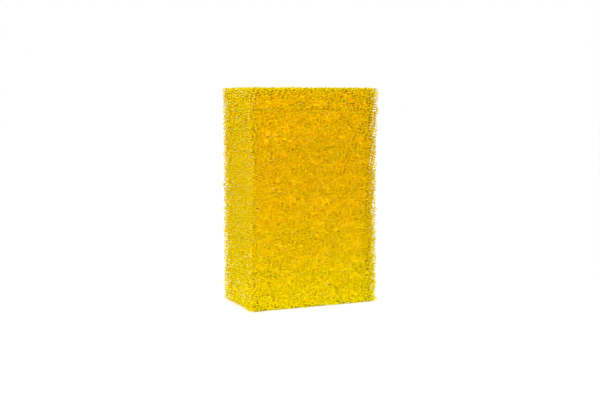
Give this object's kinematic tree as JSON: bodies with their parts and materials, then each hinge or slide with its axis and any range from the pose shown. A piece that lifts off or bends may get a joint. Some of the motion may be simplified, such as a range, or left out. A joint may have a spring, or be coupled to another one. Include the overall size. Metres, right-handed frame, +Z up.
{
  "type": "cleaning sponge",
  "caption": "Rectangular block of open-cell foam for wiping and scrubbing, standing on one small end.",
  "frame": {"origin": "centre of the small end that the sponge stands on", "axes": "+Z up along the block's length, X across the broad faces, Y through the thickness, with the front broad face towards -Y"},
  "size_m": [0.068, 0.04, 0.11],
  "materials": {
    "foam": "soft open-cell polyurethane foam, coloured yellow all through"
  },
  "bodies": {
    "root": {"foam_block": "foam"}
  },
  "joints": []
}
